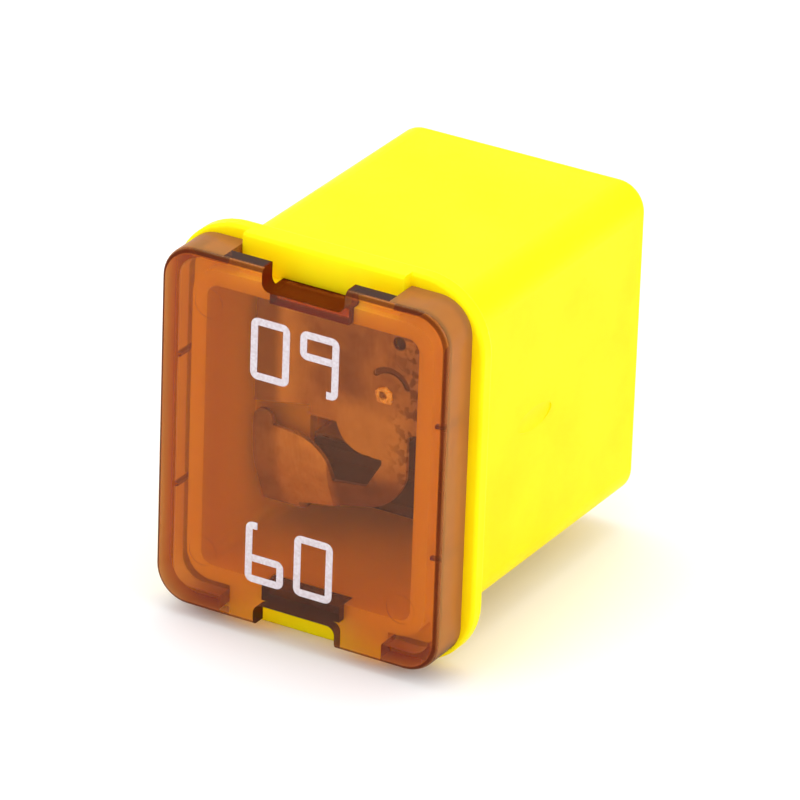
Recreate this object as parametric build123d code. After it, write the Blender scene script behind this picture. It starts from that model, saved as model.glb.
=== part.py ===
from build123d import *
import os

# Low profile cartridge fuse with two female blade terminals, in millimetres.
# It is modelled standing on its terminal end, as it plugs in: X runs across the short side,
# Y along the long side and Z from the terminal face up to the window. The last step lays it on
# one short side, with the window facing -Y.

# ---- case
overall_height = 16.5
flange_corner = 2.75
flange_thickness = 0.72
flange_edge = 0.15
flange_root = 0.3
pad_height = 0.45
pad_clearance = 0.08
body_length = 13.18
body_width = 10.9
body_corner = 1.15
foot_edge = 0.25
side_wall = 0.88
end_wall = 0.79
chamber_corner = 0.5
chamber_depth = 9.5
rim_wall = 0.63
rim_side_clearance = 0.42
rim_clearance = 0.28
well_clearance = 0.12
mouth_floor = 1.2
mouth_clearance = 0.35
mouth_chamfer = 0.4
divider_pocket_depth = 4.0
divider_pocket_wall = 0.55
shelf_clearance = 0.5
shelf_thickness = 0.37
shelf_reach = 2.4
shelf_low = -1.95
shelf_high = 0.6
sink_length = 2.6
sink_width = 0.9
sink_depth = 0.06

# ---- window cover
cover_lip = 0.5
cover_corner = 1.42
cover_depth = 1.83
cover_edge = 0.3
window_thickness = 0.75
skirt_wall = 0.55
skirt_opening = 7.1
notch_width = 3.56
notch_depth = 0.92
notch_corner = 0.35
tongue_width = 3.4
tongue_thickness = 0.66
tongue_reach = 1.7
tongue_clearance = 0.04
rib_spacing = 5.4
rib_width = 0.14
rib_height = 0.12
rib_depth = 0.7
ejector_mark_radius = 0.6
ejector_mark_depth = 0.02
ejector_mark_inset_x = 1.85
ejector_mark_inset_y = 2.25

# ---- fuse element
blade_width = 6.3
blade_thickness = 0.8
terminal_pitch = 7.9
sheet = 0.45
link_sheet = 0.2
bend = 0.5
blade_side_clearance = 0.05
contact_preload = 0.05
seam = 0.3
collar_length = 3.2
collar_depth = 6.9
collar_throat = 1.15
wing_clearance = 0.15
wing_bend = 1.0
wing_bow_low = 0.4345     # shares of the wing's length, up from its tip
wing_bow_high = 0.6106
link_depth = 4.1
link_drop = 0.96
link_drop_start = -2.5
link_blend = 3.0
link_side_clearance = 0.32
plate_right = 3.3
plate_right_foot = 0.4
plate_edge_left = -0.15
plate_edge_right = 0.29
plate_step_x = -1.83
plate_foot = -0.1
plate_tab_left = -0.65
plate_tab_middle = (-0.14, -0.9)
plate_tab_right = 0.7
plate_tab_foot = -1.15
neck_left = 1.38
neck_left_end = -1.35
neck_right = 2.45
neck_top = 0.1
neck_end = -1.7
neck_radius = 2.6
bridge_top_right = (0.72, -2.45)
bridge_top_left = (-0.67, -2.64)
bridge_width = 1.0
bridge_flare = 0.25
lobe_right = -0.72
lobe_corner_high = (-1.75, -1.26)
lobe_corner_low = (-1.13, -1.74)
lobe_flank_foot = -3.0
lobe_top = -0.4
lobe_shoulder = -0.98
lobe_knob_width = 0.85
lobe_foot_x = -2.62
lobe_foot_right = -3.92
link_step = 0.05
link_step_x = 0.9
locating_hole_radius = 0.28
locating_hole_x = 1.98
locating_hole_y = 3.84
groove_radius = 0.84
groove_width = 0.26
groove_depth = 0.1
groove_start = 22
groove_sweep = 112

# ---- tin spot
tin_length = 0.94
tin_width = 0.88
tin_corner = 0.24
tin_height = 0.14
tin_dimple_radius = 0.17
tin_x = 1.4
tin_y = 1.57
tin_turn = 6

# ---- spring clips
clip_sheet = 0.2
clip_height = 2.6
clip_gap = 2.0
clip_drop = 0.5
clip_corner = 0.45

# ---- printed rating
ink_thickness = 0.03
digit_width = 1.68
digit_height = 2.52
digit_gap = 0.44
stroke = 0.28
digit_corner = 0.26
six_loop_height = 1.17
hook_length = 0.5
hook_height = 0.26
hook_corner = 0.12
print_x = -0.27
print_y_lower = -4.3
print_y_upper = 4.12

# ---- levels above the terminal face
window_top = overall_height - ink_thickness
window_bottom = window_top - window_thickness
skirt_foot = window_top - cover_depth
flange_top = skirt_foot
flange_bottom = flange_top - flange_thickness
rim_top = window_bottom - rim_clearance
chamber_floor = window_top - chamber_depth
link_top = window_top - link_depth
collar_top = window_top - collar_depth
terminal_foot = mouth_floor

# ---- plan sizes that follow from the ones above
chamber_length = body_length - 2 * end_wall
chamber_width = body_width - 2 * side_wall
rim_length = chamber_length + 2 * rim_wall
rim_width = chamber_width + 2 * rim_wall
cover_length = rim_length + 2 * (rim_side_clearance + skirt_wall)
cover_width = rim_width + 2 * (rim_side_clearance + skirt_wall)
flange_length = cover_length + 2 * cover_lip
flange_width = cover_width + 2 * cover_lip
notch_foot = cover_length / 2 - notch_depth
blade_y = terminal_pitch / 2
terminal_width = blade_width + 2 * (blade_side_clearance + sheet)
back_y = blade_y + blade_thickness / 2 + sheet
front_y = back_y - 2 * sheet - collar_throat
contact_y = blade_y - blade_thickness / 2 + contact_preload
link_left = link_side_clearance - chamber_width / 2
shelf_top = link_top - link_sheet - shelf_clearance


def slab(sketch, low, high):
    """A flat sketch made solid between two levels."""
    return extrude(Pos(0, 0, low) * sketch, high - low)


def block(x0, x1, y0, y1, low, high):
    """A box given by its faces."""
    return Pos(x0, y0, low) * Box(x1 - x0, y1 - y0, high - low, align=(Align.MIN,) * 3)


def strip(points, radii, thickness, x0, x1):
    """Sheet metal whose middle line runs through (y, z) points, from x0 to x1."""
    middle = FilletPolyline(*[(0, y, z) for y, z in points], radius=radii)
    section = trace(Plane.YZ.to_local_coords(middle), thickness)
    return extrude(Plane.YZ.offset(x0) * section, x1 - x0)


def flipped(shape):
    """The same piece turned half round for the other terminal."""
    return Rot(0, 0, 180) * shape


def case_outside():
    body = slab(RectangleRounded(body_width, body_length, body_corner), 0, flange_top)
    flange = slab(RectangleRounded(flange_width, flange_length, flange_corner), flange_bottom, flange_top)
    rim = slab(RectangleRounded(rim_width, rim_length, chamber_corner + rim_wall), flange_top, rim_top)
    body = fillet(body.faces().sort_by(Axis.Z)[0].edges(), foot_edge)
    flange_rims = flange.faces().sort_by(Axis.Z)
    flange = fillet(flange_rims[0].edges() + flange_rims[-1].edges(), flange_edge)
    joined = body + flange
    root = joined.edges().filter_by_position(Axis.Z, flange_bottom, flange_bottom)
    root = root.filter_by_position(Axis.X, -body_width / 2, body_width / 2)
    root = root.filter_by_position(Axis.Y, -body_length / 2, body_length / 2)
    half = skirt_opening / 2 - pad_clearance
    pads = block(-half, half, -flange_length / 2, flange_length / 2, flange_top - flange_edge,
                 flange_top + pad_height)
    pads = fillet(pads.faces().sort_by(Axis.Z)[-1].edges().filter_by(Axis.X), flange_edge)
    return fillet(root, flange_root) + rim + pads


def tongue_slot(side):
    """The pocket in the rim and end wall that takes one of the cover's tongues."""
    half = tongue_width / 2 + tongue_clearance
    outer = notch_foot + tongue_clearance
    low = window_top - tongue_reach - tongue_clearance
    slot = block(-half, half, chamber_length / 2 - 0.1, outer, low, window_top)
    return slot if side > 0 else flipped(slot)


def terminal_well():
    """The well, blade mouth and lead-in for the terminal on the +Y side."""
    grow = clip_sheet + well_clearance
    half = terminal_width / 2 + grow
    well = block(-half, half, front_y - grow, back_y + grow, mouth_floor, chamber_floor + 0.1)
    mouth_x = blade_width + 2 * mouth_clearance
    mouth_y = blade_thickness + 2 * mouth_clearance
    mouth = slab(Pos(0, blade_y) * Rectangle(mouth_x, mouth_y), 0, mouth_floor)
    flare = Pos(0, blade_y, 0) * Rectangle(mouth_x + 2 * mouth_chamfer, mouth_y + 2 * mouth_chamfer)
    throat = Pos(0, blade_y, mouth_chamfer) * Rectangle(mouth_x, mouth_y)
    return well + mouth + loft([flare.face(), throat.face()])


def housing():
    case = case_outside()
    case -= slab(RectangleRounded(chamber_width, chamber_length, chamber_corner), chamber_floor, window_top)
    pocket_y = 2 * (front_y - clip_sheet - well_clearance - divider_pocket_wall)
    pocket_x = terminal_width
    pocket_floor = chamber_floor - divider_pocket_depth
    case -= slab(Rectangle(pocket_x, pocket_y), pocket_floor, chamber_floor + 0.1)
    case += block(-chamber_width / 2 - 0.1, shelf_reach - chamber_width / 2, shelf_low, shelf_high,
                  shelf_top - shelf_thickness, shelf_top)
    for side in (1, -1):
        case -= tongue_slot(side)
        case -= terminal_well() if side > 0 else flipped(terminal_well())
    sink_radius = (sink_width**2 / 4 + sink_depth**2) / (2 * sink_depth)
    sink_level = flange_bottom / 2 + sink_length / 2
    dish = Pos(body_width / 2 + sink_radius - sink_depth, 0, sink_level) * Cylinder(sink_radius, sink_length)
    dish &= Rot(0, 90, 0) * Pos(-sink_level, 0, body_width / 2 - 1) * extrude(
        Ellipse(sink_length / 2, sink_width / 2), 2)
    return case - dish


def notched_window():
    """The flat window with its rounded outline and the two notches."""
    outline = RectangleRounded(cover_width, cover_length, cover_corner)
    window = slab(outline, skirt_foot, window_top)
    window = fillet(window.faces().sort_by(Axis.Z)[-1].edges(), cover_edge)
    inside = RectangleRounded(cover_width - 2 * skirt_wall, cover_length - 2 * skirt_wall,
                              cover_corner - skirt_wall)
    window -= slab(inside, skirt_foot, window_bottom)
    half = skirt_opening / 2
    window -= block(-half, half, -cover_length, cover_length, skirt_foot, window_bottom)
    reach = notch_depth + notch_corner
    notch = RectangleRounded(notch_width, 2 * reach, notch_corner)
    for side in (1, -1):
        window -= slab(Pos(0, side * (notch_foot + reach)) * notch, skirt_foot, window_top)
    return window


def window_cover():
    cover = notched_window()
    half = tongue_width / 2
    low = window_top - tongue_reach
    tongue = block(-half, half, notch_foot - tongue_thickness, notch_foot, low, window_bottom + 0.1)
    rib_x = cover_width / 2 - skirt_wall
    for side in (1, -1):
        cover += tongue if side > 0 else flipped(tongue)
        for y in (-rib_spacing / 2, rib_spacing / 2):
            rib = block(rib_x - rib_height, rib_x + 0.1, y - rib_width / 2, y + rib_width / 2,
                        window_bottom - rib_depth, window_bottom + 0.1)
            cover += rib if side > 0 else flipped(rib)
    mark_x = cover_width / 2 - ejector_mark_inset_x
    mark_y = cover_length / 2 - ejector_mark_inset_y
    for x in (-mark_x, mark_x):
        for y in (-mark_y, mark_y):
            cover -= slab(Pos(x, y) * Circle(ejector_mark_radius), window_bottom,
                          window_bottom + ejector_mark_depth)
    return cover


def upper_plate_outline():
    """Plan of the link's wide plate, its neck and the bridge to the lower lobe."""
    bridge_foot_right = bridge_top_right[1] - bridge_width
    bridge_foot_left = bridge_top_left[1] - bridge_width - bridge_flare
    joint = lobe_right - 0.2
    tab_arc = ThreePointArc((plate_tab_left, plate_foot), plate_tab_middle, (plate_tab_right, plate_tab_foot))
    neck_arc = RadiusArc((neck_right, neck_end), (bridge_top_right[0], bridge_foot_right), neck_radius)
    bridge = Polyline((bridge_top_right[0], bridge_foot_right), (joint, bridge_foot_left),
                      (joint, bridge_top_left[1]), bridge_top_left, bridge_top_right,
                      (neck_left, neck_left_end), (neck_left, plate_tab_foot),
                      (plate_tab_right, plate_tab_foot))
    left = Polyline((plate_tab_left, plate_foot), (plate_step_x, plate_foot),
                    (plate_step_x, plate_edge_right), (link_left, plate_edge_left), (link_left, back_y))
    right = Polyline((link_left, back_y), (plate_right, back_y), (plate_right, plate_right_foot),
                     (neck_right, neck_top), (neck_right, neck_end))
    return make_face(tab_arc + neck_arc + bridge + left + right)


def lower_lobe_outline():
    """Plan of the lobe that turns down into the lower terminal, with the round knob at its corner."""
    knob_right = link_left + lobe_knob_width
    knob_foot = lobe_top - lobe_knob_width / 2
    knob = ThreePointArc((link_left, knob_foot), (link_left + lobe_knob_width / 2, lobe_top),
                         (knob_right, knob_foot))
    flank = Spline((knob_right, lobe_shoulder), lobe_corner_high, lobe_corner_low,
                   (lobe_right, lobe_flank_foot), tangents=((1, -0.1), (0.15, -1)))
    sides = Polyline((lobe_right, lobe_flank_foot), (lobe_right, lobe_foot_right),
                     (lobe_foot_x, bend - back_y), (lobe_foot_x, -back_y), (link_left, -back_y),
                     (link_left, knob_foot))
    return make_face(knob + Line((knob_right, knob_foot), (knob_right, lobe_shoulder)) + flank + sides)


def bent_strip(thickness):
    """A strip whose outer face is the element's, whatever its thickness."""
    wall_y = back_y - thickness / 2
    top = link_top - thickness / 2
    points = [(-wall_y, terminal_foot), (-wall_y, top - link_drop), (link_drop_start, top),
              (wall_y, top), (wall_y, terminal_foot)]
    radius = bend + (sheet - thickness) / 2
    return strip(points, [radius, link_blend, radius], thickness, link_left, -link_left)


def link_strip():
    """The bent strip from one terminal's back wall over to the other's, rolled thinner in the link."""
    walls, thin = [bent_strip(thickness) for thickness in (sheet, link_sheet)]
    walls &= slab(RectangleRounded(terminal_width, 2 * back_y, bend), terminal_foot, collar_top)
    plate = thin & slab(upper_plate_outline(), collar_top, window_bottom)
    plate -= block(link_left - 0.1, link_step_x, plate_tab_foot - 0.1, back_y - bend,
                   link_top - link_step, link_top + 0.1)
    return walls + plate + (thin & slab(lower_lobe_outline(), collar_top, window_bottom))


def terminal():
    """Collar, side walls and sprung wings of the terminal on the +Y side."""
    half = terminal_width / 2
    depth = back_y - front_y
    ring = RectangleRounded(terminal_width, depth, bend) - RectangleRounded(
        terminal_width - 2 * sheet, depth - 2 * sheet, 0.1)
    ring -= Pos(0, -depth / 2) * Rectangle(seam, 3 * sheet)
    collar_low = collar_top - collar_length
    shape = slab(Pos(0, (back_y + front_y) / 2) * ring, collar_low, collar_top)
    wing_y = front_y + sheet / 2
    bow_y = contact_y - sheet / 2
    tip, neck = terminal_foot + sheet / 2, collar_low - 0.4
    bow_low, bow_high = [tip + share * (neck - tip) for share in (wing_bow_low, wing_bow_high)]
    points = [(wing_y, collar_low + 0.5), (wing_y, neck), (bow_y, bow_high), (bow_y, bow_low), (wing_y, tip)]
    wing = strip(points, [wing_bend] * 3, sheet, seam / 2, half - sheet - wing_clearance)
    shape += wing + mirror(wing, Plane.YZ)
    for x0, x1 in ((-half, sheet - half), (half - sheet, half)):
        shape += block(x0, x1, front_y + sheet, back_y, terminal_foot, collar_low)
    return shape


def fuse_element():
    element = link_strip()
    upper = terminal()
    element += upper + flipped(upper)
    hole = Pos(locating_hole_x, locating_hole_y) * Circle(locating_hole_radius)
    element -= slab(hole, link_top - link_sheet - 0.1, link_top + 0.1)
    arc = CenterArc((tin_x + 0.2, tin_y + 0.22), groove_radius, groove_start, groove_sweep)
    groove = SlotArc(arc, groove_width)
    return element - slab(groove, link_top - groove_depth, link_top + 0.1)


def tin_spot():
    """Tin bead on the link, with the punch's dimple in its top."""
    bead = slab(RectangleRounded(tin_length, tin_width, tin_corner), 0, tin_height)
    bead = chamfer(bead.faces().sort_by(Axis.Z)[-1].edges(), tin_height * 0.7)
    bead -= Pos(0, 0, tin_height + tin_dimple_radius / 2) * Sphere(tin_dimple_radius)
    return Pos(tin_x, tin_y, link_top) * Rot(0, 0, tin_turn) * bead


def spring_clip():
    """Spring steel band round the terminal on the +Y side, open towards the middle."""
    depth = back_y - front_y
    ring = RectangleRounded(terminal_width + 2 * clip_sheet, depth + 2 * clip_sheet, bend + clip_sheet)
    ring -= RectangleRounded(terminal_width, depth, bend)
    ring -= Pos(0, -depth / 2) * Rectangle(clip_gap, 4 * clip_sheet)
    high = collar_top - clip_drop
    return slab(Pos(0, (back_y + front_y) / 2) * ring, high - clip_height, high)


def digit_zero():
    outer = RectangleRounded(digit_width, digit_height, digit_corner)
    return outer - Rectangle(digit_width - 2 * stroke, digit_height - 2 * stroke)


def digit_six():
    foot = -digit_height / 2
    left = -digit_width / 2
    loop = Pos(0, foot + six_loop_height / 2) * (
        RectangleRounded(digit_width, six_loop_height, digit_corner)
        - Rectangle(digit_width - 2 * stroke, six_loop_height - 2 * stroke))
    stem = Pos(left + stroke / 2, 0) * RectangleRounded(stroke, digit_height, hook_corner)
    hook = Pos(left + hook_length / 2, digit_height / 2 - hook_height / 2) * RectangleRounded(
        hook_length, hook_height, hook_corner)
    return loop + stem + hook


def rating_print():
    """The rating's two digits as a thin layer of ink, centred on the origin."""
    step = (digit_width + digit_gap) / 2
    pair = Sketch() + [Pos(-step, 0) * digit_six(), Pos(step, 0) * digit_zero()]
    return slab(pair, window_top, overall_height)


def lay_down(shape):
    """From standing on the terminal face to lying on one short side, window to -Y."""
    return Pos(0, overall_height / 2, flange_length / 2) * Rot(90, 0, 0) * shape


pieces = {
    "housing": housing(),
    "window_cover": window_cover(),
    "fuse_element": fuse_element(),
    "tin_spot": tin_spot(),
    "spring_clip_upper": spring_clip(),
    "spring_clip_lower": flipped(spring_clip()),
    "rating_print_upper": Pos(print_x, print_y_upper, 0) * Rot(0, 0, 180) * rating_print(),
    "rating_print_lower": Pos(print_x, print_y_lower, 0) * rating_print(),
}

os.makedirs("parts", exist_ok=True)
for name, piece in pieces.items():
    export_step(lay_down(piece), f"parts/{name}.step")
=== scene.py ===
import math

import bmesh
import bpy
from mathutils import Matrix, Vector, noise as noise_field


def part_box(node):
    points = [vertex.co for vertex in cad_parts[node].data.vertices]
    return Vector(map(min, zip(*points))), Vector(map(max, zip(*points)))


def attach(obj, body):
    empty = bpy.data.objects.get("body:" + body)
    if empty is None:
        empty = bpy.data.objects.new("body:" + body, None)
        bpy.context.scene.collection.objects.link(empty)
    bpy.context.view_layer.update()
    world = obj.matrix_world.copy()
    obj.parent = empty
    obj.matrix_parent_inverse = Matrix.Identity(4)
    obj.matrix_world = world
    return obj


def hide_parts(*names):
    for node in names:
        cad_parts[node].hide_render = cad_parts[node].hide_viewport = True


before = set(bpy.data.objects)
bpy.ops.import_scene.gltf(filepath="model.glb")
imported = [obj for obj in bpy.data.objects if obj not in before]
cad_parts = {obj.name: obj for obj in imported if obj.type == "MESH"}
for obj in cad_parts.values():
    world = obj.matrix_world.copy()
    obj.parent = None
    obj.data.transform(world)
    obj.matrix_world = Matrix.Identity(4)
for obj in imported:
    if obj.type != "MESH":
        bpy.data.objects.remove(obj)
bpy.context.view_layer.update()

bl_info = {
    "name": "Low profile cartridge fuse",
    "version": (1, 0, 0),
    "blender": (4, 5, 0),
    "location": "3D View > Sidebar > Fuse",
    "description": "Dresses the packed fuse with its plastics, metals and print, on a studio stage",
    "category": "Add Mesh",
}

MM = 0.001
FLOOR_HALF = 1.5
AIM_HEIGHT = 8 * MM
SOFTBOXES = {  # where each stands, its width and its power
    "overhead": ((-0.05, 0.05, 0.35), 0.25, 0.40),
    "front": ((-0.16, -0.3, 0.22), 0.2, 0.30),
    "right": ((0.35, -0.02, 0.2), 0.2, 0.30),
}


# ---------------------------------------------------------------- node helpers

def add(tree, kind, inputs=None, **settings):
    """Adds a node, with its settings and its inputs given as values or sockets."""
    made = tree.nodes.new(kind)
    for key, value in settings.items():
        setattr(made, key, value)
    for key, value in (inputs or {}).items():
        if isinstance(value, bpy.types.NodeSocket):
            tree.links.new(value, made.inputs[key])
        else:
            made.inputs[key].default_value = value
    return made


def new_material(name):
    """An empty node material and its tree."""
    material = bpy.data.materials.new(name)
    material.use_nodes = True
    material.node_tree.nodes.clear()
    return material, material.node_tree


def object_place(tree):
    """Where a point of the surface is, in the object's own coordinates."""
    return add(tree, "ShaderNodeTexCoord").outputs["Object"]


def split(tree, vector):
    """A vector's X, Y and Z."""
    parts = add(tree, "ShaderNodeSeparateXYZ", {"Vector": vector}).outputs
    return parts["X"], parts["Y"], parts["Z"]


def stretch(tree, vector, scale):
    """A vector scaled along its axes."""
    return add(tree, "ShaderNodeMapping", {"Vector": vector, "Scale": scale}).outputs["Vector"]


def noise(tree, where, scale, detail):
    """A noise pattern's value, its scale in cells per metre."""
    return add(tree, "ShaderNodeTexNoise", {"Vector": where, "Scale": scale, "Detail": detail}).outputs["Fac"]


def math_node(tree, operation, *values):
    return add(tree, "ShaderNodeMath", dict(enumerate(values)), operation=operation).outputs[0]


def chain(tree, operation, first, *others):
    """One operation run through a list of values."""
    for value in others:
        first = math_node(tree, operation, first, value)
    return first


def product(tree, *values):
    return chain(tree, "MULTIPLY", *values)


def largest(tree, *values):
    return chain(tree, "MAXIMUM", *values)


def inverse(tree, mask):
    """One where a mask is nought, and nought where it is one."""
    return math_node(tree, "SUBTRACT", 1.0, mask)


def distance(tree, value, middle):
    """How far a value is from a middle, on either side."""
    return math_node(tree, "ABSOLUTE", math_node(tree, "SUBTRACT", value, middle))


def remap(tree, value, low, high, to_low, to_high, smooth=False):
    """A value's range moved onto another."""
    made = add(tree, "ShaderNodeMapRange", {"Value": value, "From Min": low, "From Max": high,
                                            "To Min": to_low, "To Max": to_high})
    made.interpolation_type = "SMOOTHSTEP" if smooth else "LINEAR"
    return made.outputs["Result"]


def fade(tree, value, start, end, strength=1.0):
    """Nought at a start and a strength at an end, with a smooth step between them."""
    return remap(tree, value, start, end, 0.0, strength, smooth=True)


def past(tree, value, edge, soft):
    """One where a value is past an edge, nought where it is short of it."""
    return fade(tree, value, edge - soft, edge + soft)


def short_of(tree, value, edge, soft):
    """One where a value is short of an edge, nought where it is past it."""
    return inverse(tree, past(tree, value, edge, soft))


def within(tree, value, low, high, soft):
    """One where a value lies between two limits."""
    return product(tree, past(tree, value, low, soft), short_of(tree, value, high, soft))


def blend_colour(tree, factor, first, second):
    """Two colours mixed by a factor, each given as a socket or as red, green and blue."""
    first, second = [value if isinstance(value, bpy.types.NodeSocket) else opaque(value)
                     for value in (first, second)]
    return add(tree, "ShaderNodeMix", {0: factor, 6: first, 7: second}, data_type="RGBA").outputs[2]


def mix_shaders(tree, factor, first, second):
    return add(tree, "ShaderNodeMixShader", {0: factor, 1: first, 2: second}).outputs["Shader"]


def bump(tree, height, strength, depth):
    made = add(tree, "ShaderNodeBump", {"Strength": strength, "Distance": depth, "Height": height})
    return made.outputs["Normal"]


def principled(tree, inputs):
    return add(tree, "ShaderNodeBsdfPrincipled", inputs).outputs["BSDF"]


def opaque(colour):
    return (*colour, 1.0)


def finish_material(tree, shader, volume=None):
    made = add(tree, "ShaderNodeOutputMaterial", {"Surface": shader})
    if volume is not None:
        tree.links.new(volume, made.inputs["Volume"])


# ---------------------------------------------------------------- materials

def case_plastic(settings, stains):
    """Moulded yellow nylon: satin, carrying light inside it, with flow clouds and a few dust specks; painted
    light tints the chamber orange and painted shade darkens its bottom.
    """
    material, tree = new_material("yellow_nylon")
    where = object_place(tree)
    clouds = noise(tree, where, 320.0, 3.0)
    grain = noise(tree, where, 9000.0, 3.0)
    specks = add(tree, "ShaderNodeTexVoronoi", {"Vector": where, "Scale": 360.0}).outputs["Distance"]
    speck_size = remap(tree, noise(tree, where, 170.0, 0.0), 0.5, 0.72, 0.0, 0.035)
    speck = math_node(tree, "LESS_THAN", specks, speck_size)
    colour = blend_colour(tree, remap(tree, clouds, 0.35, 0.65, 0.0, 1.0),
                          settings.case_colour, settings.case_deep_colour)
    colour = blend_colour(tree, product(tree, speck, settings.dust_strength), colour, settings.dust_colour)

    # Painted light: the case inside the chamber behind the window is coloured more orange, as if lit through
    # the amber; painted shade darkens the chamber's bottom.
    low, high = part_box("housing")
    x, y, z = split(tree, where)
    across = distance(tree, x, 0.0)
    along = distance(tree, z, (low[2] + high[2]) / 2)
    depth = math_node(tree, "SUBTRACT", y, low[1])
    chamber = product(tree, short_of(tree, across, settings.chamber_half_width, 0.03 * MM),
                      short_of(tree, along, settings.chamber_half_length, 0.03 * MM),
                      within(tree, depth, 0.05 * MM, settings.chamber_depth, 0.05 * MM))
    colour = blend_colour(tree, chamber, colour, settings.chamber_light_colour)
    # Painted shade: deep in the chamber the case is coloured near black, where little light reaches.
    painted_shade = product(tree, short_of(tree, across, stains.shade_half_width, stains.shade_fade),
                   short_of(tree, along, stains.shade_half_length, stains.shade_fade),
                   within(tree, depth, stains.shade_top, stains.shade_bottom, stains.shade_fade))
    colour = blend_colour(tree, painted_shade, colour, settings.chamber_shade_colour)
    finish_material(tree, principled(tree, {
        "Base Color": colour, "Roughness": remap(tree, clouds, 0.3, 0.7, 0.36, 0.46),
        "Normal": bump(tree, grain, 0.12, 0.02 * MM), "Specular IOR Level": 0.06, "IOR": 1.45,
        "Subsurface Weight": 0.6, "Subsurface Radius": (1.0, 0.8, 0.05), "Subsurface Scale": 1.6 * MM}))
    return material


def window_plastic(settings):
    """Clear amber polycarbonate: polished front and frosted outer sides, with painted shade darkening the
    notches, the rounded edges, the undersides and the ribs.
    """
    material, tree = new_material("amber_polycarbonate")
    where = object_place(tree)
    low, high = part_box("window_cover")
    half_x, half_z = (high[0] - low[0]) / 2, (high[2] - low[2]) / 2
    middle = low[2] + half_z
    x, y, z = split(tree, where)
    across = distance(tree, x, 0.0)
    along = distance(tree, z, middle)
    depth = math_node(tree, "SUBTRACT", y, low[1])

    # Which way the surface faces: out of a side, or on the rounded front edge.
    facing_y, facing_z = split(tree, add(tree, "ShaderNodeTexCoord").outputs["Normal"])[1:]
    front = math_node(tree, "ABSOLUTE", facing_y)
    side = remap(tree, front, 0.15, 0.75, 1.0, 0.0, smooth=True)
    edge = remap(tree, front, 0.9, 0.995, 1.0, 0.0, smooth=True)
    rounded = product(tree, edge, inverse(tree, side))
    underside = remap(tree, facing_z, -0.75, -0.1, 1.0, 0.0, smooth=True)
    upper_half = remap(tree, z, middle - 0.1 * MM, middle + 0.1 * MM, -1.0, 1.0)
    not_inward = past(tree, product(tree, facing_z, upper_half), -0.5, 0.2)

    # The cover's outer surface, a box with rounded corners, less the gaps in its skirt.
    corner = settings.cover_corner
    corner_x = math_node(tree, "MAXIMUM", math_node(tree, "SUBTRACT", across, half_x - corner), 0.0)
    corner_z = math_node(tree, "MAXIMUM", math_node(tree, "SUBTRACT", along, half_z - corner), 0.0)
    reach = math_node(tree, "SQRT", math_node(tree, "ADD", product(tree, corner_x, corner_x),
                                              product(tree, corner_z, corner_z)))
    outside = past(tree, reach, corner - 0.07 * MM, 0.03 * MM)
    opening = product(tree, past(tree, along, half_z - settings.skirt_gap_reach, 0.05 * MM),
                      short_of(tree, across, settings.skirt_gap, 0.02 * MM))
    frosted = product(tree, side, outside, inverse(tree, opening))

    # Painted shade: bare edges and notch walls in the gaps, the lower tongue, undersides and ribs are
    # coloured dark where shade falls on them.
    notch = short_of(tree, across, settings.notch_half, 0.02 * MM)
    lower_notch = math_node(tree, "MINIMUM", inverse(tree, upper_half), notch)
    bare_edge = product(tree, not_inward, short_of(tree, depth, settings.bare_edge_depth, 0.15 * MM))
    cut = product(tree, side, opening, largest(tree, bare_edge, lower_notch))
    tongue = product(tree, lower_notch, opening,
                     within(tree, depth, settings.tongue_start, settings.tongue_end, 0.05 * MM))
    rib = product(tree, side, inverse(tree, outside),
                  within(tree, along, settings.rib_place - settings.rib_half,
                         settings.rib_place + settings.rib_half, 0.04 * MM))
    dark = largest(tree, cut, tongue, product(tree, frosted, underside),
                   product(tree, rib, settings.rib_shade_strength))
    notch_shade_tone = blend_colour(tree, upper_half, settings.tongue_shade_colour, settings.notch_shade_colour)
    shade_tone = blend_colour(tree, notch, settings.cut_shade_colour, notch_shade_tone)

    haze = remap(tree, noise(tree, where, 260.0, 3.0), 0.3, 0.7, 0.85, 1.15)
    frost = largest(tree, product(tree, frosted, settings.side_frost),
                    product(tree, rounded, settings.edge_frost), product(tree, dark, settings.notch_frost))
    frost = largest(tree, product(tree, frost, haze), settings.front_haze)
    glass = principled(tree, {
        "Base Color": opaque((1.0, 1.0, 1.0)), "Roughness": remap(tree, frosted, 0.0, 1.0, 0.02, 0.18),
        "IOR": 1.38, "Transmission Weight": 1.0, "Specular Tint": opaque((0.75, 0.72, 0.65)),
        "Normal": bump(tree, noise(tree, where, 700.0, 2.0), 0.04, 0.05 * MM)})
    # Painted shade: the rounded front edges take a dark tone.
    tone = blend_colour(tree, edge, settings.haze_colour, settings.edge_shade_colour)
    tone = blend_colour(tree, side, tone, settings.side_colour)
    tone = blend_colour(tree, dark, tone, shade_tone)
    glow = blend_colour(tree, dark, settings.glow_colour, shade_tone)
    milky = mix_shaders(tree, product(tree, frosted, settings.side_glow),
                        add(tree, "ShaderNodeBsdfDiffuse", {"Color": tone}).outputs["BSDF"],
                        add(tree, "ShaderNodeBsdfTranslucent", {"Color": glow}).outputs["BSDF"])

    # Light falls through the plastic, and its colour comes from the thickness crossed.
    clear = add(tree, "ShaderNodeBsdfTransparent", {"Color": opaque(settings.window_light)}).outputs["BSDF"]
    shadow = add(tree, "ShaderNodeLightPath").outputs["Is Shadow Ray"]
    body = add(tree, "ShaderNodeVolumeAbsorption", {"Color": opaque(settings.window_colour),
                                                    "Density": settings.window_density}).outputs["Volume"]
    finish_material(tree, mix_shaders(tree, shadow, mix_shaders(tree, frost, glass, milky), clear), body)
    return material


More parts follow.
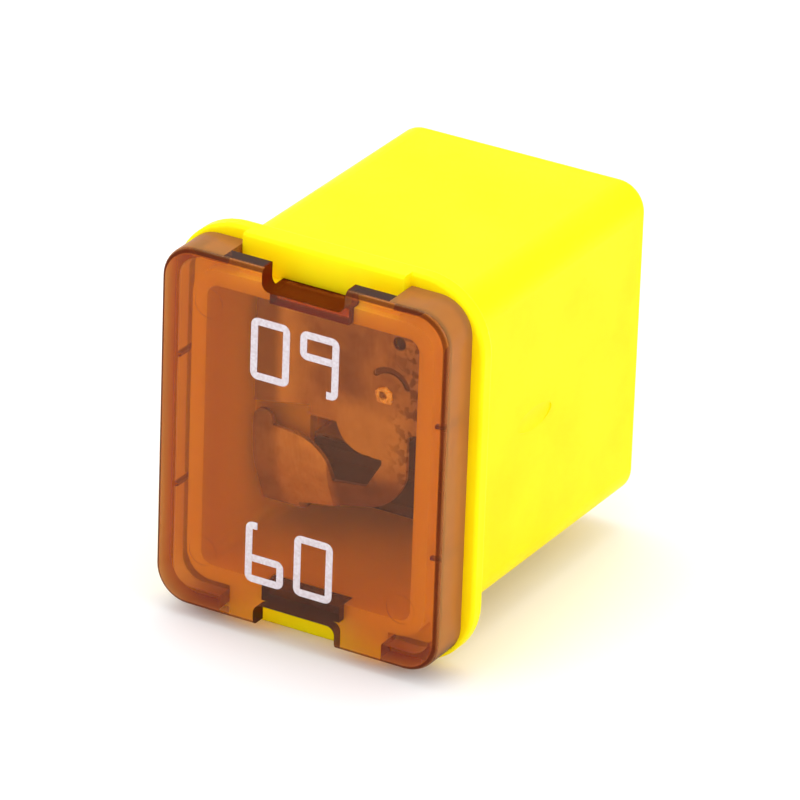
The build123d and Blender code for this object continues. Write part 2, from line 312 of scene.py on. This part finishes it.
def stamped_copper(settings, stains):
    """Rolled copper alloy: streaks, tarnish and heat-tint splashes, with painted light on the lobe, left end
    and plate, and painted shade where it is deep or turned away.
    """
    material, tree = new_material("copper_alloy")
    where = object_place(tree)
    streaks = noise(tree, stretch(tree, where, (1.0, 1.0, 0.12)), 14000.0, 3.0)
    patches = noise(tree, where, 900.0, 4.0)
    fine = noise(tree, where, 4200.0, 4.0)
    worn = chain(tree, "ADD", remap(tree, patches, 0.38, 0.72, 0.0, 0.8),
                 remap(tree, streaks, 0.3, 0.7, -0.12, 0.2), remap(tree, fine, 0.3, 0.7, -0.12, 0.12))
    worn = largest(tree, worn, 0.0)
    low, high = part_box("fuse_element")
    x, y, z = split(tree, where)
    height = math_node(tree, "SUBTRACT", z, (low[2] + high[2]) / 2)
    depth = math_node(tree, "SUBTRACT", y, low[1])

    # Painted light: towards the left end, on the lobe and on the plate over the gap the metal is coloured
    # bright where light falls.
    lobe = product(tree, short_of(tree, x, stains.lobe_right, 0.05 * MM),
                   short_of(tree, height, stains.lobe_top, 0.25 * MM))
    plate_light = product(tree, within(tree, x, stains.plate_light_left, stains.plate_light_right, 0.5 * MM),
                     within(tree, height, stains.plate_light_foot, stains.plate_light_top, 0.6 * MM))
    bright = blend_colour(tree, product(tree, worn, 0.7), settings.painted_light_colour, settings.copper_colour)
    colour = blend_colour(tree, worn, settings.copper_colour, settings.tarnish_colour)
    left_light = fade(tree, x, stains.left_light_start, stains.left_light_end)
    colour = blend_colour(tree, left_light, colour, settings.painted_light_colour)
    colour = blend_colour(tree, lobe, colour, bright)
    colour = blend_colour(tree, product(tree, plate_light, 0.6), colour, settings.painted_light_colour)

    # Painted shade: the thin bridge, the knob, the lobe's outer flank, the groove and the upper plate are
    # darkened where shade falls; the splashes are heat tint.
    bridge = product(tree, fade(tree, height, stains.bridge_shade_top, stains.bridge_shade_top - 0.9 * MM),
                     fade(tree, x, stains.lobe_right, stains.lobe_right + 0.5 * MM), 0.75)
    knob = product(tree, short_of(tree, x, stains.knob_right, 0.3 * MM),
                   past(tree, height, stains.knob_foot, 0.5 * MM), 0.6)
    flank = product(tree, lobe, fade(tree, x, stains.flank_right, stains.flank_left, 0.5))
    groove = product(tree, within(tree, depth, 0.04 * MM, 0.22 * MM, 0.01 * MM),
                     past(tree, height, stains.groove_foot, 0.1 * MM),
                     within(tree, x, stains.groove_left, stains.groove_right, 0.02 * MM), 0.9)
    splashes = product(tree, remap(tree, noise(tree, where, 2400.0, 3.0), 0.5, 0.56, 0.0, 1.0),
                       fade(tree, x, stains.splash_start, stains.splash_end))
    tint = product(tree, within(tree, x, stains.upper_shade_left, stains.upper_shade_right, 0.6 * MM),
                   past(tree, height, stains.upper_shade_foot, 0.8 * MM), 0.3)
    colour = blend_colour(tree, largest(tree, bridge, knob, flank, groove, splashes, tint), colour,
                          settings.heat_and_shade_colour)

    # Painted shade: metal that falls back from the link, and behind its gap, is coloured dark and dull, but
    # not at the blade mouths.
    fallen = fade(tree, depth, stains.link_fall, stains.link_fall + 0.5 * MM)
    behind_gap = product(tree, past(tree, x, stains.lobe_right + 0.1 * MM, 0.1 * MM),
                         within(tree, height, stains.gap_floor, stains.lobe_top, 0.2 * MM),
                         past(tree, depth, 0.3 * MM, 0.1 * MM))
    painted_shade = product(tree, largest(tree, fallen, behind_gap),
                   inverse(tree, fade(tree, depth, stains.shade_end_depth - 1.0 * MM, stains.shade_end_depth)))
    finish_material(tree, principled(tree, {
        "Base Color": blend_colour(tree, painted_shade, colour, settings.shade_metal_colour), "Metallic": inverse(tree, painted_shade),
        "Roughness": largest(tree, remap(tree, worn, 0.0, 1.0, 0.6, 0.75), product(tree, painted_shade, 0.9)),
        "Normal": bump(tree, streaks, 0.15, 0.01 * MM)}))
    return material


def tin_metal(settings):
    """Melted tin, bright on its crests, with painted shade darkening its dimple."""
    material, tree = new_material("tin")
    where = object_place(tree)
    ripples = noise(tree, where, 3500.0, 2.0)
    middle = tuple((a + b) / 2 for a, b in zip(*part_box("tin_spot")))
    centred = add(tree, "ShaderNodeVectorMath", {0: where, 1: middle}, operation="SUBTRACT").outputs["Vector"]
    flat = stretch(tree, centred, (1.0, 0.0, 1.0))
    from_middle = add(tree, "ShaderNodeVectorMath", {0: flat}, operation="LENGTH").outputs["Value"]
    uneven = math_node(tree, "ADD", from_middle, remap(tree, ripples, 0.3, 0.7, -0.1 * MM, 0.1 * MM))
    # Painted shade: the dimple in the middle is coloured darker than the crests.
    crest = fade(tree, uneven, 0.08 * MM, 0.2 * MM)
    finish_material(tree, principled(tree, {
        "Base Color": blend_colour(tree, crest, settings.tin_dimple_shade_colour, settings.tin_colour),
        "Metallic": 1.0, "Roughness": remap(tree, ripples, 0.3, 0.7, 0.32, 0.2),
        "Normal": bump(tree, ripples, 0.15, 0.02 * MM)}))
    return material


def spring_steel(settings):
    """Blued spring steel strip with fine rolling streaks."""
    material, tree = new_material("spring_steel")
    streaks = noise(tree, stretch(tree, object_place(tree), (0.1, 1.0, 1.0)), 12000.0, 2.0)
    finish_material(tree, principled(tree, {
        "Base Color": blend_colour(tree, streaks, settings.steel_colour, settings.steel_dark_colour),
        "Metallic": 1.0, "Roughness": remap(tree, streaks, 0.3, 0.7, 0.25, 0.4)}))
    return material


def white_ink(settings):
    """Pad-printed white ink, a little grey and grainy."""
    material, tree = new_material("white_ink")
    grain = noise(tree, object_place(tree), 9000.0, 3.0)
    finish_material(tree, principled(tree, {
        "Base Color": blend_colour(tree, remap(tree, grain, 0.35, 0.65, 0.0, 1.0),
                                   settings.ink_colour, settings.ink_thin_colour),
        "Roughness": 0.55, "Normal": bump(tree, grain, 0.2, 0.01 * MM), "Specular IOR Level": 0.3}))
    return material



# ---------------------------------------------------------------- geometry trees

def new_tree(name, inputs):
    """A geometry tree with named inputs, and its group input node and output node."""
    tree = bpy.data.node_groups.new(name, "GeometryNodeTree")
    tree.interface.new_socket("Geometry", in_out="INPUT", socket_type="NodeSocketGeometry")
    for label, kind, default in inputs:
        socket = tree.interface.new_socket(label, in_out="INPUT", socket_type=kind)
        if default is not None:
            socket.default_value = default
    tree.interface.new_socket("Geometry", in_out="OUTPUT", socket_type="NodeSocketGeometry")
    return tree, add(tree, "NodeGroupInput").outputs, add(tree, "NodeGroupOutput")


def swept_strip_tree(name):
    """A flat path with rounded corners, swept with a strip section whose edges are softened."""
    tree, given, result = new_tree(name, (
        ("Strip width", "NodeSocketFloat", 0.3 * MM), ("Strip height", "NodeSocketFloat", 0.03 * MM),
        ("Corner radius", "NodeSocketFloat", 0.1 * MM), ("Edge radius", "NodeSocketFloat", 0.01 * MM),
        ("Middle height", "NodeSocketFloat", 0.0), ("Turn", "NodeSocketRotation", None),
        ("Place", "NodeSocketVector", None), ("Material", "NodeSocketMaterial", None)))
    path = add(tree, "GeometryNodeMeshToCurve", {"Mesh": given["Geometry"]}).outputs[0]
    path = add(tree, "GeometryNodeFilletCurve", {"Curve": path, "Count": 5, "Radius": given["Corner radius"],
                                                 "Limit Radius": True}, mode="POLY").outputs[0]
    path = add(tree, "GeometryNodeSetCurveNormal", {"Curve": path}, mode="Z_UP").outputs[0]
    section = add(tree, "GeometryNodeCurvePrimitiveQuadrilateral",
                  {"Width": given["Strip width"], "Height": given["Strip height"]}).outputs[0]
    section = add(tree, "GeometryNodeFilletCurve", {"Curve": section, "Count": 2, "Limit Radius": True,
                                                    "Radius": given["Edge radius"]}, mode="POLY").outputs[0]
    swept = add(tree, "GeometryNodeCurveToMesh", {"Curve": path, "Profile Curve": section,
                                                  "Fill Caps": True}).outputs[0]
    lift = add(tree, "ShaderNodeCombineXYZ", {"Z": given["Middle height"]}).outputs[0]
    lifted = add(tree, "GeometryNodeTransform", {"Geometry": swept, "Translation": lift}).outputs[0]
    placed = add(tree, "GeometryNodeTransform", {"Geometry": lifted, "Translation": given["Place"],
                                                 "Rotation": given["Turn"]}).outputs[0]
    whole = add(tree, "GeometryNodeRealizeInstances", {"Geometry": placed}).outputs[0]
    dressed = add(tree, "GeometryNodeSetMaterial", {"Geometry": whole, "Material": given["Material"]})
    tree.links.new(dressed.outputs[0], result.inputs[0])
    return tree


def grow(name, paths, tree, values):
    """Runs a geometry tree on polylines and returns the result as an object with a plain mesh."""
    points, edges = [], []
    for path, closed in paths:
        start = len(points)
        points += [(x, y, 0.0) for x, y in path]
        edges += [(start + i, start + i + 1) for i in range(len(path) - 1)]
        if closed:
            edges.append((len(points) - 1, start))
    rough = bpy.data.meshes.new(name + "_path")
    rough.from_pydata(points, edges, [])
    piece = bpy.data.objects.new(name, rough)
    bpy.context.scene.collection.objects.link(piece)
    modifier = piece.modifiers.new("Build", "NODES")
    modifier.node_group = tree
    for socket in tree.interface.items_tree:
        if socket.in_out == "INPUT" and socket.name in values:
            modifier[socket.identifier] = values[socket.name]
    bpy.context.view_layer.update()
    built = bpy.data.meshes.new_from_object(piece.evaluated_get(bpy.context.evaluated_depsgraph_get()))
    piece.modifiers.remove(modifier)
    piece.data = built
    built.name = name
    bpy.data.meshes.remove(rough)
    return piece


def fill_box(name, box, paths, tree, turn, values):
    """Grows paths into a piece that fills a CAD box, its strips on edge along Y."""
    low, high = box
    return grow(name, paths, tree, {
        "Strip height": high[1] - low[1], "Turn": (math.pi / 2, turn, 0.0),
        "Place": tuple((a + b) / 2 for a, b in zip(low, high)), **values})


def settle(piece, node):
    """Makes a finished piece stand for a CAD node."""
    mesh = bmesh.new()
    mesh.from_mesh(piece.data)
    bmesh.ops.remove_doubles(mesh, verts=mesh.verts, dist=0.0005 * MM)
    bmesh.ops.recalc_face_normals(mesh, faces=mesh.faces)
    mesh.to_mesh(piece.data)
    mesh.free()
    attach(piece, "root")
    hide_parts(node)


# ---------------------------------------------------------------- settings

def colour_prop(name, default, description):
    return bpy.props.FloatVectorProperty(name=name, description=description, default=default,
                                         subtype="COLOR", min=0.0, max=1.0)


def length_prop(name, default, description):
    return bpy.props.FloatProperty(name=name, description=description, default=default, min=0.0,
                                   unit="LENGTH", subtype="DISTANCE", precision=5)


def place_prop(name, default, description):
    return bpy.props.FloatProperty(name=name, description=description, default=default,
                                   unit="LENGTH", subtype="DISTANCE", precision=5)


def share_prop(name, default, description):
    return bpy.props.FloatProperty(name=name, description=description, default=default, min=0.0, max=1.0,
                                   subtype="FACTOR")


class FuseFinish(bpy.types.PropertyGroup):
    """Colours and finishes of the fuse's materials."""
    case_colour: colour_prop("Case colour", (1.0, 0.78, 0.004), "Main colour of the moulded case")
    case_deep_colour: colour_prop("Case deep colour", (1.0, 0.71, 0.003), "Colour of the case's clouds")
    dust_colour: colour_prop("Dust colour", (0.25, 0.16, 0.02), "Specks of dust on the case")
    dust_strength: share_prop("Dust strength", 0.55, "How dark the specks of dust are")
    chamber_light_colour: colour_prop("Chamber colour", (1.0, 0.74, 0.01), "The case inside, behind the window")
    chamber_half_width: length_prop("Chamber half width", 4.62 * MM, "Half the chamber's width")
    chamber_half_length: length_prop("Chamber half length", 5.85 * MM, "Half the chamber's length")
    chamber_depth: length_prop("Chamber depth", 8.6 * MM, "From the rim down to the chamber's floor")
    chamber_shade_colour: colour_prop("Soot colour", (0.02, 0.012, 0.006), "The dark bottom of the chamber")
    window_colour: colour_prop("Window colour", (0.935, 0.73, 0.3), "Colour that the window lets through")
    window_density: bpy.props.FloatProperty(name="Window density", default=3300.0, min=0.0,
                                            description="Absorption of the amber window per metre")
    window_light: colour_prop("Window light", (0.95, 0.78, 0.5), "Colour of the light that falls through it")
    side_colour: colour_prop("Window side colour", (0.62, 0.30, 0.09), "Frosted sides of the cover")
    haze_colour: colour_prop("Haze colour", (0.80, 0.20, 0.03), "The faint haze of the amber plastic")
    glow_colour: colour_prop("Window glow colour", (0.85, 0.62, 0.3), "Light that comes through the sides")
    edge_shade_colour: colour_prop("Window edge colour", (0.095, 0.017, 0.005), "Rounded edges of the cover")
    notch_shade_colour: colour_prop("Notch colour", (0.13, 0.018, 0.003), "Walls and tongue of the upper notch")
    tongue_shade_colour: colour_prop("Lower notch colour", (0.075, 0.027, 0.012), "The same at the lower notch")
    cut_shade_colour: colour_prop("Cut colour", (0.065, 0.036, 0.028), "Bare edges of the window by the notches")
    side_frost: share_prop("Side frost", 0.7, "How frosted the cover's sides are")
    side_glow: share_prop("Side glow", 0.5, "How much of the frost lets light through")
    edge_frost: share_prop("Edge frost", 0.82, "How frosted the cover's rounded edges are")
    notch_frost: share_prop("Notch frost", 0.85, "How dull the cut edges of the notches are")
    front_haze: share_prop("Front haze", 0.035, "How milky the cover's polished faces are")
    cover_corner: length_prop("Cover corner", 1.42 * MM, "Radius of the cover's corners")
    skirt_gap: length_prop("Skirt gap", 3.55 * MM, "Half the width of the gaps in the cover's skirt")
    skirt_gap_reach: length_prop("Skirt gap reach", 1.7 * MM, "How far the gaps reach in from the ends")
    bare_edge_depth: length_prop("Bare edge depth", 1.6 * MM, "Depth of the window's bare edges in the gaps")
    notch_half: length_prop("Notch half width", 1.85 * MM, "Half the width of the notches")
    tongue_start: length_prop("Tongue start", 1.3 * MM, "From the window's front to the dark tongue")
    tongue_end: length_prop("Tongue end", 4.0 * MM, "From the window's front to the tongue's far end")
    rib_place: length_prop("Rib place", 2.7 * MM, "Where the cover's ribs are, from its middle")
    rib_half: length_prop("Rib half width", 0.13 * MM, "Half the width of a rib")
    rib_shade_strength: share_prop("Rib strength", 0.7, "How dark the ribs are")
    copper_colour: colour_prop("Copper colour", (0.63, 0.54, 0.50), "Clean copper alloy")
    tarnish_colour: colour_prop("Tarnish colour", (0.44, 0.34, 0.32), "Tarnished patches")
    painted_light_colour: colour_prop("Lobe colour", (0.95, 0.93, 0.85), "The link's clean, bright lobe")
    heat_and_shade_colour: colour_prop("Heat tint", (0.20, 0.12, 0.09), "Metal darkened by heat")
    shade_metal_colour: colour_prop("Dark metal", (0.02, 0.015, 0.012), "Metal deep below the link")
    tin_colour: colour_prop("Tin colour", (1.0, 0.95, 0.85), "Bright crests of the tin spot")
    tin_dimple_shade_colour: colour_prop("Dull tin colour", (0.30, 0.22, 0.15), "Dimple of the tin spot")
    steel_colour: colour_prop("Steel colour", (0.60, 0.60, 0.62), "The spring clips")
    steel_dark_colour: colour_prop("Dark steel colour", (0.40, 0.41, 0.45), "Streaks on the spring clips")
    ink_colour: colour_prop("Ink colour", (0.66, 0.61, 0.65), "The printed rating")
    ink_thin_colour: colour_prop("Thin ink colour", (0.56, 0.48, 0.50), "Thin spots of the print")


class FuseStains(bpy.types.PropertyGroup):
    """Where the link and the chamber get painted light, painted shade or heat tint, from the middle of the
    fuse.
    """
    shade_half_width: length_prop("Soot half width", 3.4 * MM, "Half the width of the chamber's soot")
    shade_half_length: length_prop("Soot half length", 5.2 * MM, "Half the length of the chamber's soot")
    shade_top: length_prop("Soot top", 4.6 * MM, "From the case's front to where the soot starts")
    shade_bottom: length_prop("Soot bottom", 12.8 * MM, "From the case's front to where the soot ends")
    shade_fade: length_prop("Soot fade", 0.3 * MM, "Softness of the soot's edges")
    lobe_right: place_prop("Lobe right", -1.0 * MM, "Where the bridge meets the lobe")
    lobe_top: place_prop("Lobe top", -0.3 * MM, "Upper end of the lobe")
    left_light_start: place_prop("Clean start", -1.4 * MM, "Where the link's left end starts to be clean")
    left_light_end: place_prop("Clean end", -3.2 * MM, "Where the link's left end is fully clean")
    plate_light_left: place_prop("Polish left", -0.6 * MM, "Left end of the plate's bright part")
    plate_light_right: place_prop("Polish right", 2.4 * MM, "Right end of the plate's bright part")
    plate_light_foot: place_prop("Polish foot", -1.5 * MM, "Lower end of the plate's bright part")
    plate_light_top: place_prop("Polish top", 0.9 * MM, "Upper end of the plate's bright part")
    bridge_shade_top: place_prop("Scorch top", -1.6 * MM, "Where the bridge's heat tint starts")
    knob_right: place_prop("Knob right", -3.25 * MM, "Right side of the lobe's knob")
    knob_foot: place_prop("Knob foot", -1.5 * MM, "Lower end of the lobe's knob")
    flank_right: place_prop("Flank right", -2.9 * MM, "Where the lobe's outer flank starts to darken")
    flank_left: place_prop("Flank left", -3.6 * MM, "Where the lobe's outer flank is darkest")
    groove_left: place_prop("Groove left", 0.95 * MM, "Left end of the curved groove")
    groove_right: place_prop("Groove right", 3.1 * MM, "Right end of the curved groove")
    groove_foot: place_prop("Groove foot", 0.9 * MM, "Lower end of the curved groove")
    splash_start: place_prop("Splash start", 1.2 * MM, "Where the dark splashes on the plate start")
    splash_end: place_prop("Splash end", 3.2 * MM, "Where the dark splashes on the plate are densest")
    upper_shade_left: place_prop("Tint left", -1.6 * MM, "Left end of the upper plate's tint")
    upper_shade_right: place_prop("Tint right", 0.6 * MM, "Right end of the upper plate's tint")
    upper_shade_foot: place_prop("Tint foot", 1.4 * MM, "Lower end of the upper plate's tint")
    gap_floor: place_prop("Gap floor", -2.3 * MM, "Lower end of the link's gap")
    link_fall: length_prop("Link fall", 1.15 * MM, "How far the link falls back at its lower end")
    shade_end_depth: length_prop("Clean depth", 9.0 * MM, "From the link down to where the metal is clean again")


class FusePrint(bpy.types.PropertyGroup):
    """Sizes of the printed rating."""
    stroke: length_prop("Stroke", 0.3 * MM, "Width of the digits' strokes")
    gap: length_prop("Gap", 0.44 * MM, "Gap between the two digits")
    corner: length_prop("Corner", 0.16 * MM, "Radius of the strokes' corners")
    loop: length_prop("Loop", 1.17 * MM, "Height of the six's loop")
    hook: length_prop("Hook", 0.5 * MM, "Length of the hook at the six's open end")
    ink_edge: length_prop("Ink edge", 0.012 * MM, "Softness of the ink's edge")


class FuseClips(bpy.types.PropertyGroup):
    """Sizes of the spring clips round the terminals."""
    sheet: length_prop("Sheet", 0.2 * MM, "Thickness of the steel")
    gap: length_prop("Gap", 2.0 * MM, "Opening of the clip")
    corner: length_prop("Corner", 0.6 * MM, "Radius of the clip's bends")
    edge: length_prop("Edge", 0.04 * MM, "Softness of the sheared edges")


class FuseStage(bpy.types.PropertyGroup):
    """Camera, lights and floor."""
    camera_place: bpy.props.FloatVectorProperty(
        name="Camera place", description="Where the camera stands", subtype="TRANSLATION", unit="LENGTH",
        default=(0.13114, -0.23251, 0.13450))
    camera_turn: bpy.props.FloatVectorProperty(
        name="Camera turn", description="How the camera is turned", subtype="EULER", unit="ROTATION",
        default=(math.radians(64.480), math.radians(-1.869), math.radians(30.390)))
    lens: bpy.props.FloatProperty(name="Lens", description="Focal length for a 36 mm sensor",
                                  default=349.94, unit="CAMERA")
    floor_colour: colour_prop("Floor colour", (0.93, 0.93, 0.93), "The pale floor")
    world_strength: bpy.props.FloatProperty(name="World strength", default=1.0, min=0.0,
                                            description="Even light from all round")


# ---------------------------------------------------------------- operators

def dress(node, material):
    """Gives a CAD node's every slot one material."""
    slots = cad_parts[node].data.materials
    slots.clear()
    slots.append(material)


class FUSE_OT_case(bpy.types.Operator):
    """Finish the yellow case"""
    bl_idname = "fuse.case"
    bl_label = "Case"

    def execute(self, context):
        dress("housing", case_plastic(context.scene.fuse_finish, context.scene.fuse_stains))
        return {"FINISHED"}


class FUSE_OT_window(bpy.types.Operator):
    """Finish the amber window cover"""
    bl_idname = "fuse.window"
    bl_label = "Window cover"

    def execute(self, context):
        dress("window_cover", window_plastic(context.scene.fuse_finish))
        return {"FINISHED"}


class FUSE_OT_element(bpy.types.Operator):
    """Finish the stamped fuse element"""
    bl_idname = "fuse.element"
    bl_label = "Fuse element"

    def execute(self, context):
        dress("fuse_element", stamped_copper(context.scene.fuse_finish, context.scene.fuse_stains))
        return {"FINISHED"}


def tin_bead(name, low, high):
    """A melted bead that fills a box: an uneven mound with a dimple, flat where it sits on the link."""
    width, squareness = 0.78, 0.35
    unevenness, waves, shift = 0.22, 1.7, Vector((4.1, 0.0, 2.3))
    crown, steepness, lumpiness, lumps = 0.75, 0.6, 0.25, 3.1
    dimple_depth, dimple_x, dimple_z, dimple_width = 0.45, -0.1, 0.1, 0.06
    half_x, full_y, half_z = (high[0] - low[0]) / 2, high[1] - low[1], (high[2] - low[2]) / 2
    mesh = bmesh.new()
    bmesh.ops.create_icosphere(mesh, subdivisions=5, radius=1.0)
    for vertex in mesh.verts:
        x, y, z = vertex.co
        plan = math.hypot(x, z)
        square = 1.0 + squareness * (plan / max(abs(x), abs(z), 1e-6) - 1.0) * plan
        bulge = 1.0 + unevenness * noise_field.noise(Vector((x, 0.0, z)) * waves + shift)
        reach = width * square * bulge / max(plan, 1.0)
        lump = lumpiness * noise_field.noise(Vector((x, y, z)) * lumps)
        dimple = dimple_depth * math.exp(-((x - dimple_x) ** 2 + (z - dimple_z) ** 2) / dimple_width)
        rise = max(-y, 0.0) ** steepness * (crown + lump) - dimple if y < 0 else 0.0
        vertex.co = (x * reach * half_x, -max(rise, 0.0) * full_y, z * reach * half_z)
    bmesh.ops.remove_doubles(mesh, verts=mesh.verts, dist=0.0002 * MM)
    limits = (half_x, full_y, half_z)
    fit = [min(1.0, limit / max(abs(v.co[i]) for v in mesh.verts)) for i, limit in enumerate(limits)]
    seat = Vector(((low[0] + high[0]) / 2, high[1], (low[2] + high[2]) / 2))
    placed = Matrix.Translation(seat) @ Matrix.Diagonal((*fit, 1.0))
    bmesh.ops.transform(mesh, verts=mesh.verts, matrix=placed)
    data = bpy.data.meshes.new(name)
    mesh.to_mesh(data)
    mesh.free()
    data.shade_smooth()
    bead = bpy.data.objects.new(name, data)
    bpy.context.scene.collection.objects.link(bead)
    return bead


class FUSE_OT_tin(bpy.types.Operator):
    """Build the melted tin spot on the link"""
    bl_idname = "fuse.tin"
    bl_label = "Tin spot"

    def execute(self, context):
        bead = tin_bead("tin_bead", *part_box("tin_spot"))
        bead.data.materials.append(tin_metal(context.scene.fuse_finish))
        settle(bead, "tin_spot")
        return {"FINISHED"}


class FUSE_OT_clips(bpy.types.Operator):
    """Build the spring clips round the two terminals"""
    bl_idname = "fuse.clips"
    bl_label = "Spring clips"

    def execute(self, context):
        sizes = context.scene.fuse_clips
        steel = spring_steel(context.scene.fuse_finish)
        tree = swept_strip_tree("Bent spring strip")
        for end, turn in (("upper", 0.0), ("lower", math.pi)):
            low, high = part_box("spring_clip_" + end)
            half_x = (high[0] - low[0] - sizes.sheet) / 2
            half_z = (high[2] - low[2] - sizes.sheet) / 2
            corners = [(-half_x, -half_z), (-half_x, half_z), (half_x, half_z), (half_x, -half_z)]
            lip = (sizes.gap / 2, -half_z)
            path = [(-lip[0], lip[1]), *corners, lip]
            band = fill_box("spring_band_" + end, (low, high), [(path, False)], tree, turn, {
                "Strip width": sizes.sheet, "Corner radius": sizes.corner, "Edge radius": sizes.edge,
                "Material": steel})
            settle(band, "spring_clip_" + end)
        return {"FINISHED"}


def digit_paths(sizes, width, height):
    """Middle lines of a six and a nought side by side, centred, drawn as plain strokes."""
    each = (width - sizes.gap) / 2
    step = (each + sizes.gap) / 2
    x = (each - sizes.stroke) / 2
    y = (height - sizes.stroke) / 2
    loop_top = sizes.loop - sizes.stroke / 2 - height / 2
    nought = [(-x, -y), (x, -y), (x, y), (-x, y)]
    six = [(sizes.hook - x - sizes.stroke / 2, y), (-x, y), (-x, -y), (x, -y), (x, loop_top),
           (sizes.stroke / 2 - x, loop_top)]
    return [([(a - step, b) for a, b in six], False), ([(a + step, b) for a, b in nought], True)]


class FUSE_OT_print(bpy.types.Operator):
    """Print the rating twice on the window cover"""
    bl_idname = "fuse.print"
    bl_label = "Rating print"

    def execute(self, context):
        sizes = context.scene.fuse_print
        ink = white_ink(context.scene.fuse_finish)
        tree = swept_strip_tree("Printed stroke")
        for end, turn in (("upper", math.pi), ("lower", 0.0)):
            low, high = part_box("rating_print_" + end)
            paths = digit_paths(sizes, high[0] - low[0], high[2] - low[2])
            digits = fill_box("rating_digits_" + end, (low, high), paths, tree, turn, {
                "Strip width": sizes.stroke, "Corner radius": sizes.corner, "Edge radius": sizes.ink_edge,
                "Material": ink})
            settle(digits, "rating_print_" + end)
        return {"FINISHED"}


def softbox(name, place, size, power):
    """A square softbox aimed at the middle of the fuse."""
    light = bpy.data.lights.new(name, "AREA")
    light.size = size
    light.energy = power
    lamp = bpy.data.objects.new(name, light)
    lamp.location = place
    target = Vector((0.0, 0.0, AIM_HEIGHT))
    lamp.rotation_euler = (target - Vector(place)).to_track_quat("-Z", "Y").to_euler()
    bpy.context.scene.collection.objects.link(lamp)


class FUSE_OT_stage(bpy.types.Operator):
    """Set up the floor, lights and camera"""
    bl_idname = "fuse.stage"
    bl_label = "Stage"

    def execute(self, context):
        scene = context.scene
        stage = scene.fuse_stage
        scene.view_settings.view_transform = "Standard"

        mesh = bpy.data.meshes.new("floor")
        half = FLOOR_HALF
        mesh.from_pydata([(-half, -half, 0), (half, -half, 0), (half, half, 0), (-half, half, 0)],
                         [], [(0, 1, 2, 3)])
        floor = bpy.data.objects.new("floor", mesh)
        scene.collection.objects.link(floor)
        material, tree = new_material("pale_floor")
        finish_material(tree, principled(tree, {
            "Base Color": opaque(stage.floor_colour), "Roughness": 0.9, "Specular IOR Level": 0.0}))
        mesh.materials.append(material)

        world = bpy.data.worlds.new("studio")
        world.use_nodes = True
        light = world.node_tree.nodes["Background"].inputs
        light["Color"].default_value = opaque((1.0, 1.0, 1.0))
        light["Strength"].default_value = stage.world_strength
        scene.world = world

        for name, (place, size, power) in SOFTBOXES.items():
            softbox(name, place, size, power)

        camera = bpy.data.cameras.new("camera")
        camera.sensor_width = 36.0
        camera.lens = stage.lens
        camera.clip_start = 0.01
        viewer = bpy.data.objects.new("camera", camera)
        viewer.location = stage.camera_place
        viewer.rotation_euler = stage.camera_turn
        scene.collection.objects.link(viewer)
        scene.camera = viewer
        return {"FINISHED"}


class FUSE_PT_panel(bpy.types.Panel):
    """Lists the fuse's pieces and stage"""
    bl_label = "Cartridge fuse"
    bl_idname = "FUSE_PT_panel"
    bl_space_type = "VIEW_3D"
    bl_region_type = "UI"
    bl_category = "Fuse"

    def draw(self, context):
        for key in SETTINGS:
            group = getattr(context.scene, key)
            for name in group.__annotations__:
                self.layout.prop(group, name)
        for operator in OPERATORS:
            self.layout.operator(operator.bl_idname)


SETTINGS = {"fuse_finish": FuseFinish, "fuse_stains": FuseStains, "fuse_print": FusePrint,
            "fuse_clips": FuseClips, "fuse_stage": FuseStage}
OPERATORS = (FUSE_OT_case, FUSE_OT_window, FUSE_OT_element, FUSE_OT_tin, FUSE_OT_clips, FUSE_OT_print,
             FUSE_OT_stage)
CLASSES = (*SETTINGS.values(), *OPERATORS, FUSE_PT_panel)


def register():
    for cls in CLASSES:
        bpy.utils.register_class(cls)
    for key, group in SETTINGS.items():
        setattr(bpy.types.Scene, key, bpy.props.PointerProperty(type=group))


def unregister():
    for key in SETTINGS:
        delattr(bpy.types.Scene, key)
    for cls in reversed(CLASSES):
        bpy.utils.unregister_class(cls)


def main():
    register()
    bpy.ops.fuse.case()
    bpy.ops.fuse.window()
    bpy.ops.fuse.element()
    bpy.ops.fuse.tin()
    bpy.ops.fuse.clips()
    bpy.ops.fuse.print()
    bpy.ops.fuse.stage()


if __name__ == "__main__":
    main()
